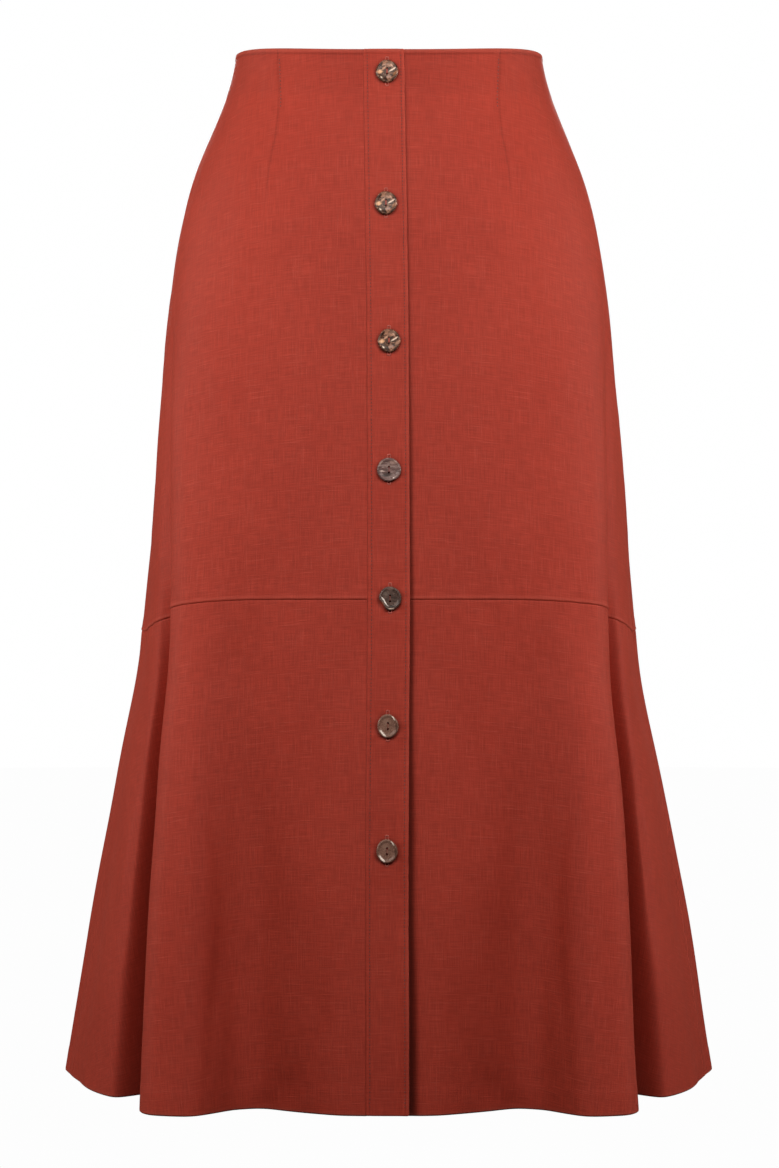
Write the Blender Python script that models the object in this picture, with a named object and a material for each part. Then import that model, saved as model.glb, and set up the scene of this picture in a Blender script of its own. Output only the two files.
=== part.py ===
"""An a-line midi skirt that buttons down the front, with a flared flounce below a level seam.

The skirt keeps the form it has when it is worn, hollow from waist to hem. All lengths are in
metres. The top edge at the centre front is at z = 0, above the origin at the waist's middle. The
front faces -Y and +X is to the viewer's right, which is the wearer's left.

Two numbers give a place on the cloth. "round" runs round the skirt: 0 at the centre front, 1 at
the centre back, positive to +X and negative to -X. "drop" is the depth below the waist.
"""

import math

import bmesh
import bpy
import numpy as np
from mathutils import Matrix, Vector

# Cloth and clearances
WALL = 0.0012  # thickness of each cloth wall
GAP = 0.0003  # clearance between neighbouring pieces
SIDE_SEAM = 0.49  # round of the side seams

# Lengths down the skirt
HEM_DROP = 0.8295  # the hem is level
HIP_DROP = 0.20
SEAM_DROP = 0.437  # the flounce seam, at the centre front
SEAM_SIDE_DIP = 0.027  # how much lower that seam is at the sides
SEAM_DIP_POWER = 7.5
WAIST_SIDE_RISE = 0.0125  # the top edge stands higher at the sides than at the front
WAIST_RISE_POWER = 2.5
WAIST_BACK_DIP = 0.008

# The smooth ring that the folds are laid on, from the waist to the hem
# drop, half width, depth to the front, depth to the back, squareness (2 is an ellipse)
SECTIONS = (
    (-0.020, 0.1238, 0.0915, 0.0900, 2.25),
    (0.010, 0.1266, 0.0960, 0.0960, 2.25),
    (0.042, 0.1393, 0.1030, 0.1090, 2.28),
    (0.091, 0.1606, 0.1125, 0.1260, 2.32),
    (0.141, 0.1732, 0.1190, 0.1350, 2.38),
    (0.206, 0.1824, 0.1245, 0.1400, 2.45),
    (0.306, 0.1914, 0.1345, 0.1460, 2.55),
    (0.450, 0.2010, 0.1500, 0.1570, 2.65),
    (0.500, 0.2055, 0.1560, 0.1620, 2.68),
    (0.570, 0.2205, 0.1650, 0.1700, 2.72),
    (0.640, 0.2325, 0.1740, 0.1780, 2.75),
    (0.740, 0.2490, 0.1870, 0.1900, 2.78),
    (0.840, 0.2635, 0.2000, 0.2030, 2.80),
)
SECTION_ROUNDING = 0.008

# The folds of one half, from the centre front to the centre back. A fold's line starts at its
# round on the hip and ends at its round on the hem. There the cloth stands out from the ring, or
# is shifted along it towards the back, by the lengths given, and by nothing at its starting drop.
# The flounce is fuller: its cloth is also tucked straight back behind the ridge.
# name, round on the hip, round on the hem, out, along, back, starting drop
FOLDS = (
    ("centre_front", 0.000, 0.000, 0.003, 0.000, 0.000, 0.20),
    ("flat_front", 0.070, 0.045, 0.001, 0.003, 0.000, 0.44),
    ("front_trough", 0.200, 0.130, -0.027, 0.003, 0.000, 0.38),
    ("trough_wall", 0.238, 0.158, -0.018, 0.001, 0.000, 0.38),
    ("front_crest", 0.280, 0.188, 0.021, -0.001, 0.000, 0.30),
    ("ridge_face", 0.345, 0.232, 0.026, -0.003, 0.000, 0.16),
    ("ridge_edge", 0.372, 0.255, 0.015, -0.006, 0.000, 0.13),
    ("under_ridge", 0.396, 0.288, -0.018, -0.026, 0.016, 0.13),
    ("valley", 0.410, 0.314, -0.040, -0.020, 0.044, 0.13),
    ("valley_side", 0.430, 0.350, -0.022, -0.016, -0.002, 0.13),
    ("side_flat", 0.475, 0.455, -0.010, -0.003, 0.000, 0.20),
    ("side_crest", 0.525, 0.543, 0.010, -0.002, 0.000, 0.22),
    ("side_back", 0.580, 0.600, 0.005, -0.002, 0.000, 0.22),
    ("back_valley", 0.660, 0.700, -0.018, 0.006, 0.000, 0.25),
    ("back_ridge", 0.720, 0.765, 0.026, -0.004, 0.000, 0.25),
    ("back_flat", 0.840, 0.870, -0.006, -0.004, 0.000, 0.40),
    ("back_swell", 0.920, 0.940, 0.014, 0.000, 0.000, 0.40),
    ("centre_back", 1.000, 1.000, 0.004, 0.000, 0.000, 0.40),
)
FOLD_ROUNDING = 0.0045
FOLD_GROWTH = 1.25  # above 1, a fold deepens faster towards the hem
TUCK_START = 0.42
TUCK_REACH = 0.16  # below its start, a tuck has most of its depth after about this length

# The button band. It leans a little to one side near the waist.
BAND_WIDTH = 0.0325
BAND_OVERLAP = 0.003  # how far it lies over the edge of the panel at each side
# drop, x of the band's middle
BAND_MIDDLE = (
    (-0.02, -0.0048),
    (0.22, -0.0012),
    (0.437, -0.0004),
    (0.62, -0.0020),
    (0.84, -0.0016),
)
BAND_ROUNDING = 0.02

# Buttons, from the waist down: drop, x
BUTTONS = (
    (0.0186, -0.0016),
    (0.1251, -0.0024),
    (0.2343, 0.0000),
    (0.3359, 0.0000),
    (0.4364, 0.0008),
    (0.5351, -0.0008),
    (0.6308, -0.0015),
)
BUTTON_RADIUS = 0.0095
BUTTON_THICKNESS = 0.0026
BUTTON_DISH = 0.0007  # how far the middle lies below the rim
BUTTON_HOLE_RADIUS = 0.0009
BUTTON_HOLE_OFFSET = 0.0022  # from the centre, one hole above it and one below
BUTTON_SIDES = 28
HOLE_SIDES = 10

# How finely the cloth is divided
LONGEST_ROUND_STEP = 0.03
UPPER_ROWS = 14
FLOUNCE_ROWS = 11
UPPER_DROPS = np.linspace(0, SEAM_DROP, UPPER_ROWS + 1)  # at the centre front
FLOUNCE_DROPS = np.linspace(SEAM_DROP, HEM_DROP, FLOUNCE_ROWS + 1)
BAND_COLUMNS = 2

# The table of levels that places on the cloth are read from
LEVEL_TOP = -0.02
LEVEL_STEP = 0.005
LEVEL_COUNT = 173
TABLE_COLUMNS = 801
RING_SAMPLES = 1441

# Colours are linear red, green and blue
LINEN_RUST = (0.37, 0.062, 0.038, 1.0)
BUTTON_SHELL = (0.13, 0.08, 0.055, 1.0)


def clear_scene():
    for thing in list(bpy.data.objects):
        bpy.data.objects.remove(thing, do_unlink=True)


def material(name, colour, roughness, metallic=0.0):
    made = bpy.data.materials.new(name)
    made.use_nodes = True
    shader = made.node_tree.nodes["Principled BSDF"]
    shader.inputs["Base Color"].default_value = colour
    shader.inputs["Roughness"].default_value = roughness
    shader.inputs["Metallic"].default_value = metallic
    return made


# The cloth's surface


def rounded(at, knots, values, width):
    """Straight lines through the knots' values, with each corner rounded over about that width."""
    slopes = np.diff(values) / np.diff(knots)
    result = values[0] + slopes[0] * (at - knots[0])
    for corner, turn in zip(knots[1:-1], np.diff(slopes)):
        result = result + turn * width * np.logaddexp(0, (at - corner) / width)
    return result


def rounded_half(rounds, values, sign):
    """The same over the fold lines, with the skirt's other half mirrored on past each end.

    sign is 1 for what is equal in both halves, and -1 for what changes its side.
    """
    start = sign * values[1]
    end = values[-2] if sign > 0 else 2 * values[-1] - values[-2]
    knots = np.concatenate([[-FOLD_HEM[1]], FOLD_HEM, [2 - FOLD_HEM[-2]]])
    return rounded(rounds, knots, np.concatenate([[start], values, [end]]), FOLD_ROUNDING)


FOLD_HIP, FOLD_HEM, FOLD_OUT, FOLD_ALONG, FOLD_BACK, FOLD_START = np.array(
    [fold[1:] for fold in FOLDS]
).T


def section(drop):
    """Half width, depth to the front, depth to the back and squareness of the ring there."""
    columns = np.array(SECTIONS).T
    return [rounded(drop, columns[0], column, SECTION_ROUNDING) for column in columns[1:]]


def ring(drop, shares):
    """Points and directions on half of the smooth ring, at shares of its length from the front."""
    half_width, front, back, squareness = section(drop)
    angle = np.linspace(0, math.pi, RING_SAMPLES)
    depth = np.where(np.cos(angle) > 0, front, back)
    across = np.sin(angle) / half_width
    along = np.abs(np.cos(angle)) / depth
    radius = (across**squareness + along**squareness) ** (-1 / squareness)
    points = np.stack([radius * np.sin(angle), -radius * np.cos(angle)])
    steps = np.hypot(*np.diff(points))
    length = np.concatenate([[0], np.cumsum(steps)])
    directions = np.gradient(points, length, axis=1)
    directions /= np.hypot(*directions)
    share = length / length[-1]
    read = [np.interp(shares, share, row) for row in (*points, *directions)]
    return read, length[-1]


def ring_share(rounds, drop):
    """Where on the ring, as a share of its half length, each round lies at that drop."""
    down = min(max((drop - HIP_DROP) / (HEM_DROP - HIP_DROP), 0), 1.02)
    hip_part = HALF_HIP * (1 - down)
    hem_part = HALF_HEM * down
    lines = (FOLD_HIP * hip_part + FOLD_HEM * hem_part) / (hip_part + hem_part)
    return np.clip(rounded_half(rounds, lines, -1), 0, 1)


HALF_HIP = ring(HIP_DROP, 0)[1]
HALF_HEM = ring(HEM_DROP, 0)[1]


def level(drop, rounds):
    """x and y of the cloth's outer face along one level of the half with x above 0."""
    (x, y, to_x, to_y), _ = ring(drop, ring_share(rounds, drop))
    grown = np.clip((drop - FOLD_START) / (HEM_DROP - FOLD_START), 0, None) ** FOLD_GROWTH
    out = rounded_half(rounds, FOLD_OUT * grown, 1)
    along = rounded_half(rounds, FOLD_ALONG * grown, -1)
    tucked = 1 - math.exp(-max(drop - TUCK_START, 0) / TUCK_REACH)
    back = rounded_half(rounds, FOLD_BACK * tucked, 1)
    return np.stack([x + out * to_y + along * to_x, y - out * to_x + along * to_y + back], axis=-1)


LEVELS = LEVEL_TOP + LEVEL_STEP * np.arange(LEVEL_COUNT)
TABLE_ROUNDS = np.linspace(0, 1, TABLE_COLUMNS)
TABLE = np.array([level(drop, TABLE_ROUNDS) for drop in LEVELS])


def face(rounds, drops):
    """Points of the cloth's outer face."""
    turned = (rounds + 1) % 2 - 1
    across = np.abs(turned) * (TABLE_COLUMNS - 1)
    down = (drops - LEVEL_TOP) / LEVEL_STEP
    column = np.clip(across.astype(int), 0, TABLE_COLUMNS - 2)
    row = np.clip(down.astype(int), 0, LEVEL_COUNT - 2)
    right = (across - column)[..., None]
    low = (down - row)[..., None]
    upper = TABLE[row, column] * (1 - right) + TABLE[row, column + 1] * right
    lower = TABLE[row + 1, column] * (1 - right) + TABLE[row + 1, column + 1] * right
    plan = upper * (1 - low) + lower * low
    x = np.where(turned < 0, -plan[..., 0], plan[..., 0])
    return np.stack([x, plan[..., 1], -drops], axis=-1)


def normal(rounds, drops):
    """Directions straight out of the cloth's outer face."""
    step = 2 / (TABLE_COLUMNS - 1)
    round_way = face(rounds + step, drops) - face(rounds - step, drops)
    down_way = face(rounds, drops + LEVEL_STEP) - face(rounds, drops - LEVEL_STEP)
    outward = np.cross(down_way, round_way)
    return outward / np.linalg.norm(outward, axis=-1, keepdims=True)


# The skirt's edges and seams


def waist_drop(rounds):
    share = ring_share(np.abs((rounds + 1) % 2 - 1), 0)
    turn = math.pi * share
    rise = WAIST_SIDE_RISE * np.sin(turn) ** WAIST_RISE_POWER
    return WAIST_BACK_DIP * (1 - np.cos(turn)) / 2 - rise


def seam_drop(rounds):
    share = ring_share(np.abs((rounds + 1) % 2 - 1), SEAM_DROP)
    return SEAM_DROP + SEAM_SIDE_DIP * np.sin(math.pi * share) ** SEAM_DIP_POWER


def round_at_x(x, drop):
    """The round of the point at that x near the centre front."""
    row = min(int((drop - LEVEL_TOP) / LEVEL_STEP), LEVEL_COUNT - 2)
    low = (drop - LEVELS[row]) / LEVEL_STEP
    near = TABLE_COLUMNS // 8
    xs = TABLE[row, :near, 0] * (1 - low) + TABLE[row + 1, :near, 0] * low
    return math.copysign(np.interp(abs(x), xs, TABLE_ROUNDS[:near]), x)


def band_middle(drop):
    drops, middles = np.array(BAND_MIDDLE).T
    return rounded(drop, drops, middles, BAND_ROUNDING)


# Meshes


def wall(name, rounds, drops, inner, outer, finish):
    """A closed wall of cloth over a grid of places, between two distances out from the surface."""
    points = face(rounds, drops)
    outward = normal(rounds, drops)
    rows, columns = rounds.shape
    shape = bmesh.new()
    sheets = []
    for distance in (outer, inner):
        verts = [shape.verts.new(place) for place in (points + distance * outward).reshape(-1, 3)]
        sheets.append(np.array(verts, dtype=object).reshape(rows, columns))
    for sheet in sheets:
        for row in range(rows - 1):
            for column in range(columns - 1):
                corners = sheet[row : row + 2, column : column + 2]
                shape.faces.new((corners[0, 0], corners[1, 0], corners[1, 1], corners[0, 1]))
    rims = [edge for edge in shape.edges if edge.is_boundary]
    bmesh.ops.bridge_loops(shape, edges=rims)
    bmesh.ops.recalc_face_normals(shape, faces=shape.faces)
    return add_object(name, shape, finish)


def add_object(name, shape, finish):
    mesh = bpy.data.meshes.new(name)
    shape.to_mesh(mesh)
    shape.free()
    mesh.shade_smooth()
    mesh.set_sharp_from_angle(angle=math.radians(40))
    mesh.materials.append(finish)
    made = bpy.data.objects.new(name, mesh)
    bpy.context.scene.collection.objects.link(made)
    return made


def fold_columns():
    """Rounds of half the skirt, with one on every fold line and none too far apart."""
    columns = [0.0]
    for start, end in zip(FOLD_HEM[:-1], FOLD_HEM[1:]):
        count = math.ceil((end - start) / LONGEST_ROUND_STEP)
        columns += list(start + (end - start) * np.arange(1, count + 1) / count)
    return np.array(columns)


def half_seam_gap(drop):
    """Half of the gap at a side seam, as a round."""
    rounds = SIDE_SEAM + np.array([-0.01, 0.01])
    length = np.linalg.norm(np.diff(face(rounds, np.full(2, drop)), axis=0))
    return GAP / 2 * np.ptp(rounds) / length


def front_rounds(drops, side):
    """Columns from the panel's edge under the band to the side seam, for each row's drop."""
    columns = fold_columns()
    columns = columns[(columns > FOLD_HEM[1]) & (columns < SIDE_SEAM)]
    reach = BAND_WIDTH / 2 - BAND_OVERLAP
    rows = []
    for drop in drops:
        edge = abs(round_at_x(band_middle(drop) + side * reach, drop))
        near_edge = (edge + columns[0]) / 2
        seam = SIDE_SEAM - half_seam_gap(drop)
        rows.append(np.concatenate([[edge, near_edge], columns, [seam]]))
    return side * np.array(rows)


def back_rounds(drops):
    """Columns from one side seam round the back to the other, for each row's drop."""
    columns = fold_columns()
    half = columns[columns > SIDE_SEAM]
    rows = []
    for drop in drops:
        seam = SIDE_SEAM + half_seam_gap(drop)
        rows.append(np.concatenate([[seam], half, 2 - half[-2::-1], [2 - seam]]))
    return np.array(rows)


def piece_drops(rounds, top, bottom):
    """Drops of a grid whose rows run evenly from its top edge to its bottom edge."""
    down = np.linspace(0, 1, len(rounds))[:, None]
    return top(rounds) * (1 - down) + bottom(rounds) * down


def upper_edges():
    return waist_drop, lambda rounds: seam_drop(rounds) - GAP / 2


def flounce_edges():
    return (
        lambda rounds: seam_drop(rounds) + GAP / 2,
        lambda rounds: np.full(rounds.shape, HEM_DROP),
    )


def build_panels(linen):
    for tier, edges, centre_drops in (
        ("panel", upper_edges(), UPPER_DROPS),
        ("flounce", flounce_edges(), FLOUNCE_DROPS),
    ):
        for side, wearer_side in ((-1, "right"), (1, "left")):
            rounds = front_rounds(centre_drops, side)
            drops = piece_drops(rounds, *edges)
            wall(f"front_{tier}_{wearer_side}", rounds, drops, -WALL, 0, linen)
        rounds = back_rounds(centre_drops)
        wall(f"back_{tier}", rounds, piece_drops(rounds, *edges), -WALL, 0, linen)


def band_strip(from_x, to_x):
    """A grid over the whole length, between two distances across from the band's middle."""
    row_drops = np.concatenate([UPPER_DROPS, FLOUNCE_DROPS[1:]])
    across = np.linspace(from_x, to_x, BAND_COLUMNS + 1)
    rounds = np.array(
        [[round_at_x(band_middle(drop) + x, drop) for x in across] for drop in row_drops]
    )
    return rounds, np.tile(row_drops[:, None], (1, BAND_COLUMNS + 1))


def build_band(linen):
    half = BAND_WIDTH / 2
    rounds, drops = band_strip(-half, half)
    wall("button_band", rounds, drops, GAP, GAP + WALL, linen)
    reach = half - BAND_OVERLAP - GAP
    rounds, drops = band_strip(-reach, reach)
    wall("button_stand", rounds, drops, -WALL, 0, linen)


def button_shape():
    """A turned disc with a dished face and two holes, its flat back on z = 0."""
    radius, height = BUTTON_RADIUS, BUTTON_THICKNESS
    profile = (
        (0.0, 0.0),
        (radius * 0.86, 0.0),
        (radius, height * 0.42),
        (radius * 0.97, height * 0.80),
        (radius * 0.88, height),
        (radius * 0.76, height - BUTTON_DISH * 0.3),
        (radius * 0.62, height - BUTTON_DISH),
        (0.0, height - BUTTON_DISH),
    )
    shape = bmesh.new()
    verts = [shape.verts.new((x, 0, z)) for x, z in profile]
    edges = [shape.edges.new(pair) for pair in zip(verts[:-1], verts[1:])]
    bmesh.ops.spin(
        shape,
        geom=verts + edges,
        cent=(0, 0, 0),
        axis=(0, 0, 1),
        angle=2 * math.pi,
        steps=BUTTON_SIDES,
        use_merge=True,
    )
    bmesh.ops.remove_doubles(shape, verts=shape.verts, dist=1e-6)
    bmesh.ops.recalc_face_normals(shape, faces=shape.faces)
    return shape


def hole_bars():
    """Two round bars, one through each thread hole."""
    shape = bmesh.new()
    for offset in (-BUTTON_HOLE_OFFSET, BUTTON_HOLE_OFFSET):
        bmesh.ops.create_cone(
            shape,
            cap_ends=True,
            segments=HOLE_SIDES,
            radius1=BUTTON_HOLE_RADIUS,
            radius2=BUTTON_HOLE_RADIUS,
            depth=4 * BUTTON_THICKNESS,
            matrix=Matrix.Translation((0, offset, 0)),
        )
    return shape


def button_place(drop, x):
    """Where a button's back sits on the band, facing straight out of it, its Y axis upwards."""
    place = np.array(round_at_x(x, drop)), np.array(drop)
    outward = Vector(normal(*place))
    seat = Vector(face(*place)) + (GAP + WALL + GAP) * outward
    across = Vector((0, 0, 1)).cross(outward).normalized()
    turn = Matrix((across, outward.cross(across), outward)).transposed()
    return Matrix.Translation(seat) @ turn.to_4x4()


def build_buttons(shell):
    for number, (drop, x) in enumerate(BUTTONS, start=1):
        button = add_object(f"button_{number}", button_shape(), shell)
        holes = add_object(f"thread_holes_{number}", hole_bars(), shell)
        holes.hide_render = True
        holes.display_type = "WIRE"
        button.matrix_world = holes.matrix_world = button_place(drop, x)
        cut = button.modifiers.new("thread holes", "BOOLEAN")
        cut.operation = "DIFFERENCE"
        cut.object = holes


def main():
    clear_scene()
    linen = material("linen", LINEN_RUST, 0.8)
    shell = material("button_shell", BUTTON_SHELL, 0.25)
    build_panels(linen)
    build_band(linen)
    build_buttons(shell)


main()
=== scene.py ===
"""The looks of the a-line midi skirt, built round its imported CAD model.

The cloth repeats the CAD's surface formulas on a finer grid and adds what is sewn and worn: turned
edges, seams, darts, stitches, buttonholes, creases and a linen weave. All lengths are in metres,
but for the creases, which are in millimetres.

Two numbers give a place on the cloth. "round" runs round the skirt: 0 at the centre front, 1 at
the centre back, positive to +X and negative to -X. "drop" is the depth below the waist.
"""

import math

import bmesh
import bpy
import numpy as np
from mathutils import Matrix, Vector


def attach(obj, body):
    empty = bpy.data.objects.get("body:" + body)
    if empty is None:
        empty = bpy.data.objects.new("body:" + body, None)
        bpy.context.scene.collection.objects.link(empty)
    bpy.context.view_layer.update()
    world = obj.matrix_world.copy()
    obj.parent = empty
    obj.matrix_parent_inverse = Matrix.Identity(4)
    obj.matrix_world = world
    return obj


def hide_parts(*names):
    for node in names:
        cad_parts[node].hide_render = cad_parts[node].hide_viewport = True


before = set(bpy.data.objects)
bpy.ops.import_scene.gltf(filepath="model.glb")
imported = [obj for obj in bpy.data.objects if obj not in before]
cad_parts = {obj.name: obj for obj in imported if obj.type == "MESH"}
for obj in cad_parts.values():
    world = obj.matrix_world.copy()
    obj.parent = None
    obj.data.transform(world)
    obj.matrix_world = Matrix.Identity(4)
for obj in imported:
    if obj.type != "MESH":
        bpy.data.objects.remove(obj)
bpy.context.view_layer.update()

# The form of the skirt, as in the CAD model

GAP = 0.0003
WALL = 0.0012
SIDE_SEAM = 0.49  # round of the side seams
HEM_DROP = 0.8295
HIP_DROP = 0.20
SEAM_DROP = 0.437  # the flounce seam, at the centre front
SEAM_SIDE_DIP = 0.027
SEAM_DIP_POWER = 7.5
WAIST_SIDE_RISE = 0.0125
WAIST_RISE_POWER = 2.5
WAIST_BACK_DIP = 0.008

# drop, half width, depth to the front, depth to the back, squareness (2 is an ellipse)
SECTIONS = (
    (-0.02, 0.1238, 0.0915, 0.09, 2.25),
    (0.01, 0.1266, 0.096, 0.096, 2.25),
    (0.042, 0.1393, 0.103, 0.109, 2.28),
    (0.091, 0.1606, 0.1125, 0.126, 2.32),
    (0.141, 0.1732, 0.119, 0.135, 2.38),
    (0.206, 0.1824, 0.1245, 0.14, 2.45),
    (0.306, 0.1914, 0.1345, 0.146, 2.55),
    (0.45, 0.201, 0.15, 0.157, 2.65),
    (0.5, 0.2055, 0.156, 0.162, 2.68),
    (0.57, 0.2205, 0.165, 0.17, 2.72),
    (0.64, 0.2325, 0.174, 0.178, 2.75),
    (0.74, 0.249, 0.187, 0.19, 2.78),
    (0.84, 0.2635, 0.2, 0.203, 2.8),
)
SECTION_ROUNDING = 0.012

# name, round on the hip, round on the hem, out, along, back, starting drop
FOLDS = (
    ("centre_front", 0, 0, 0.003, 0, 0, 0.2),
    ("flat_front", 0.07, 0.045, 0.001, 0.003, 0, 0.44),
    ("front_trough", 0.2, 0.13, -0.027, 0.003, 0, 0.38),
    ("trough_wall", 0.238, 0.158, -0.018, 0.001, 0, 0.38),
    ("front_crest", 0.28, 0.188, 0.021, -0.001, 0, 0.3),
    ("ridge_face", 0.345, 0.232, 0.026, -0.003, 0, 0.16),
    ("ridge_edge", 0.372, 0.255, 0.015, -0.006, 0, 0.13),
    ("under_ridge", 0.396, 0.288, -0.018, -0.026, 0.016, 0.13),
    ("valley", 0.41, 0.314, -0.04, -0.02, 0.044, 0.13),
    ("valley_side", 0.43, 0.35, -0.022, -0.016, -0.002, 0.13),
    ("side_flat", 0.475, 0.455, -0.01, -0.003, 0, 0.2),
    ("side_crest", 0.525, 0.543, 0.01, -0.002, 0, 0.22),
    ("side_back", 0.58, 0.6, 0.005, -0.002, 0, 0.22),
    ("back_valley", 0.66, 0.7, -0.018, 0.006, 0, 0.25),
    ("back_ridge", 0.72, 0.765, 0.026, -0.004, 0, 0.25),
    ("back_flat", 0.84, 0.87, -0.006, -0.004, 0, 0.4),
    ("back_swell", 0.92, 0.94, 0.014, 0, 0, 0.4),
    ("centre_back", 1, 1, 0.004, 0, 0, 0.4),
)
FOLD_ROUNDING = 0.0045
FOLD_GROWTH = 1.25
TUCK_START = 0.42
TUCK_REACH = 0.16

BAND_WIDTH = 0.0325
BAND_HALF = BAND_WIDTH / 2
BAND_OVERLAP = 0.003
# drop, x of the band's middle
BAND_MIDDLE = (
    (-0.02, -0.0048), (0.22, -0.0012), (0.437, -0.0004), (0.62, -0.002), (0.84, -0.0016),
)
BAND_ROUNDING = 0.02

# drop, x, finish of the button
BUTTONS = (
    (0.0186, -0.0016, "pearl"),
    (0.1251, -0.0024, "pearl"),
    (0.2343, 0, "pearl"),
    (0.3359, 0, "striped"),
    (0.4364, 0.0008, "faceted"),
    (0.5351, -0.0008, "taupe"),
    (0.6308, -0.0015, "taupe"),
)
BUTTON_RADIUS = 0.0095
BUTTON_THICKNESS = 0.0026
HOLE_RADIUS = 0.0009
HOLE_OFFSET = 0.0022

# The table of levels that places on the cloth are read from
LEVEL_TOP = -0.02
LEVEL_STEP = 0.0025
LEVEL_COUNT = 346
TABLE_COLUMNS = 1601
RING_SAMPLES = 1441

# What is sewn

CLOTH = 0.0011  # thickness of one layer as shown
SECOND_LAYER = 0.0006  # what a facing, a turn or an allowance adds to it
EDGE_BULGE = 0.4  # how far a sheet's edge is rounded out, in its thickness
CLOTH_STEP = 0.0028  # size of the grid's meshes
EDGE_DEPTH = 0.0031  # the narrow turned edge along the top
TUCK_SHADE_ROUND = 0.294  # where the painted shade in the tucked cloth is deepest
FACING_DEPTH = 0.034  # the facing inside the waist, whose edge shows through
SEAM_ALLOWANCE = 0.009
HEM_TURN = 0.018
# x and drop of the darts' stitched lines, from the waist down
DART_PATHS = {
    "front": (
        (0.0893, -0.004), (0.0877, 0.034), (0.088, 0.046), (0.0905, 0.068), (0.0955, 0.094),
        (0.0984, 0.124),
    ),
    "back": (
        (0.069, -0.002), (0.07, 0.04), (0.0735, 0.09), (0.077, 0.138),
    ),
}
STITCH_PITCH = 0.0027
STITCH_LENGTH = 0.0015
STITCH_RADIUS = 0.00034
FIRST_STITCH = 0.0048  # from the band's top, and the last from the hem
LAST_STITCH = 0.004
DART_STITCHES = (0.009, 0.050)  # where they start and end along the dart
BESIDE_DART = 0.0014
TOPSTITCH_INSET = 0.0026  # from the band's free edge
SEAM_STITCH_INSET = 0.0034  # from the band's sewn edge
THREAD_RADIUS = 0.00016
BUTTON_FLOOR = 0.0018  # height of the button's face between its holes
BUTTONHOLE_UP = 0.0112  # the buttonhole's ends, above and below the button's middle
BUTTONHOLE_DOWN = 0.0104
BUTTONHOLE_HALF = 0.0011
LIFT_AT_WAIST = 0.0004  # how far the band's free edge stands off
LIFT_AT_HEM = 0.0065
SINK_AT_HEM = 0.0055  # how far the cloth beside the band's free edge falls back

# Soft creases, in millimetres: side (0 is both), height out (a trough is below 0), reach across,
# then x and drop of each point of its line, where x at the side is in thousandths of a round
CREASES = {
    "front": (
        (0, -2, 17, 118, 435, 120, 540, 119, 640, 117, 740, 116, 1000),
        (0, 1.5, 12, 148, 435, 153, 520, 152, 620, 150, 720, 150, 1000),
        (
            0, -1.4, 7.5, 134, 468, 139, 561, 136, 617, 129.6, 660, 127.5, 702, 131.5, 736, 136,
            778, 139, 860,
        ),
        (0, -1.5, 10, 51.3, 725, 54.3, 766, 65.8, 793, 85, 820),
        (0, -2, 11, 70, 806, 88, 824, 104, 840),
        (0, -0.8, 12, 24.8, 455, 26.5, 480, 30, 515),
        (0, 1.3, 12, 142, 240, 130.9, 284, 127, 318),
        (0, -1.1, 12, 156, 255, 159, 330, 150, 410),
        (0, 1.3, 11, 91.6, 128, 91, 150, 90, 172),
        (0, -1, 6.5, 85.5, 98, 83.5, 118, 82, 136),
        (0, -0.9, 6.5, 103, 90, 100.5, 112, 99.5, 134),
        (0, 0.8, 7, 110, 85, 108.5, 125),
        (0, -1, 8, 103.5, 4, 104.5, 24, 106, 44),
        (0, -0.7, 12, 96.5, 155, 95.5, 190),
        (0, -0.8, 13, 133.5, 115, 132, 160),
        (0, -0.9, 14, 140, 385, 136, 425),
        (0, -0.8, 11, 115, 475, 130, 487, 142, 510),
        (1, 0.6, 16, 60, 240, 75, 330),
        (-1, 0.6, 16, 55, 270, 72, 380),
        (0, 0.7, 18, 75, 560, 82, 700),
    ),
    "side": (
        (0, -1.2, 5, 352, 560, 359, 650, 357, 735),
        (0, 0.9, 6, 372, 600, 378, 700),
        (0, -1.2, 12, 520, 700, 510, 850),
    ),
    "back": (
        (1, -2.2, 10, 60, 470, 70, 580, 67, 700, 78, 860),
        (-1, -2.5, 11, 50, 500, 64, 600, 71, 730, 66, 860),
        (1, -1.2, 10, 20, 690, 12, 770, 4, 860),
        (-1, 1.2, 12, 30, 640, 24, 760, 30, 860),
        (1, 1.6, 11, 150, 180, 110, 235, 70, 262),
        (-1, 1.4, 11, 145, 205, 110, 250, 60, 285),
        (1, -1.3, 10, 150, 215, 112, 262, 80, 284),
        (-1, -1.2, 10, 142, 240, 105, 282, 75, 305),
        (0, -1.2, 8, 79, 122, 80, 150, 80, 178),
        (0, 1.2, 12, 64, 145, 65, 190),
        (1, -1, 14, 100, 330, 118, 405),
        (-1, -1.1, 15, 90, 350, 110, 420),
    ),
}

# Slow waves of the whole cloth: height, waves in half a round, length down, phase
WAVES = (
    (0.00045, 5, 0.37, 0.4), (0.00035, 9, -0.29, 1.9), (0.0003, 13, 0.21, 3.1),
    (0.00018, 21, -0.13, 0.7),
)

# Short puckers along the flounce seam: height, waves in half a round, phase
PUCKERS = (
    (0.00022, 37, 0.3), (0.0002, 53, 1.1), (0.00014, 81, 2.3),
)

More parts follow.
